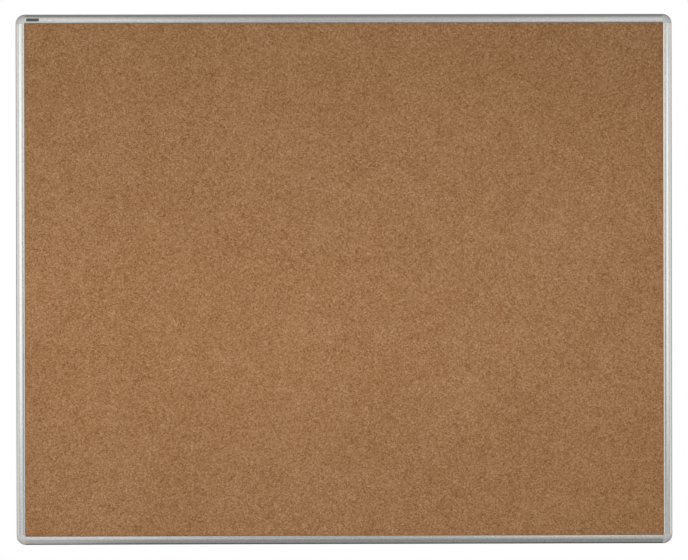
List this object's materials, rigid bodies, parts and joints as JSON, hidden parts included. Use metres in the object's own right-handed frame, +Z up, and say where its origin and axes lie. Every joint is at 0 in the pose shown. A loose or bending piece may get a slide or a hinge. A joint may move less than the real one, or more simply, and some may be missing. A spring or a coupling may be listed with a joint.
{
  "type": "cork bulletin board",
  "caption": "Wall-mounted cork notice board in a rounded aluminium frame with plastic corners, hung on steel fittings that slide in grooves in its back.",
  "frame": {"origin": "centre of the four wall screw holes, on the wall's face behind the middle of the board", "axes": "+X to the right of a person facing the board, +Z up, +Y into the wall"},
  "size_m": [1.5004, 0.0225, 1.2122],
  "materials": {
    "cork": "matte",
    "fibreboard": "matte",
    "backing_paper": "matte",
    "anodised_aluminium": "satin",
    "corner_plastic": "satin",
    "screw_steel": "satin",
    "plate_plastic": "satin",
    "zinc_steel": "satin"
  },
  "bodies": {
    "board": {"cork_sheet": "cork", "core_board": "fibreboard", "backing_sheet": "backing_paper", "top_rail": "anodised_aluminium", "bottom_rail": "anodised_aluminium", "left_rail": "anodised_aluminium", "right_rail": "anodised_aluminium", "corner_top_left": "corner_plastic", "corner_top_right": "corner_plastic", "corner_bottom_left": "corner_plastic", "corner_bottom_right": "corner_plastic", "corner_screws_top_left": "screw_steel", "corner_screws_top_right": "screw_steel", "corner_screws_bottom_left": "screw_steel", "corner_screws_bottom_right": "screw_steel", "label_plate": "plate_plastic"},
    "hanger_top_left": {"hanger_top_left": "zinc_steel"},
    "hanger_top_right": {"hanger_top_right": "zinc_steel"},
    "clip_bottom_left": {"clip_bottom_left": "zinc_steel"},
    "clip_bottom_right": {"clip_bottom_right": "zinc_steel"}
  },
  "joints": [
    {"name": "hanger_top_left_slide", "type": "slide", "parent": "board", "child": "hanger_top_left", "axis": [1, 0, 0], "range_m": [-0.2, 0.45]},
    {"name": "hanger_top_right_slide", "type": "slide", "parent": "board", "child": "hanger_top_right", "axis": [1, 0, 0], "range_m": [-0.45, 0.2]},
    {"name": "clip_bottom_left_slide", "type": "slide", "parent": "board", "child": "clip_bottom_left", "axis": [1, 0, 0], "range_m": [-0.2, 0.45]},
    {"name": "clip_bottom_right_slide", "type": "slide", "parent": "board", "child": "clip_bottom_right", "axis": [1, 0, 0], "range_m": [-0.45, 0.2]}
  ]
}
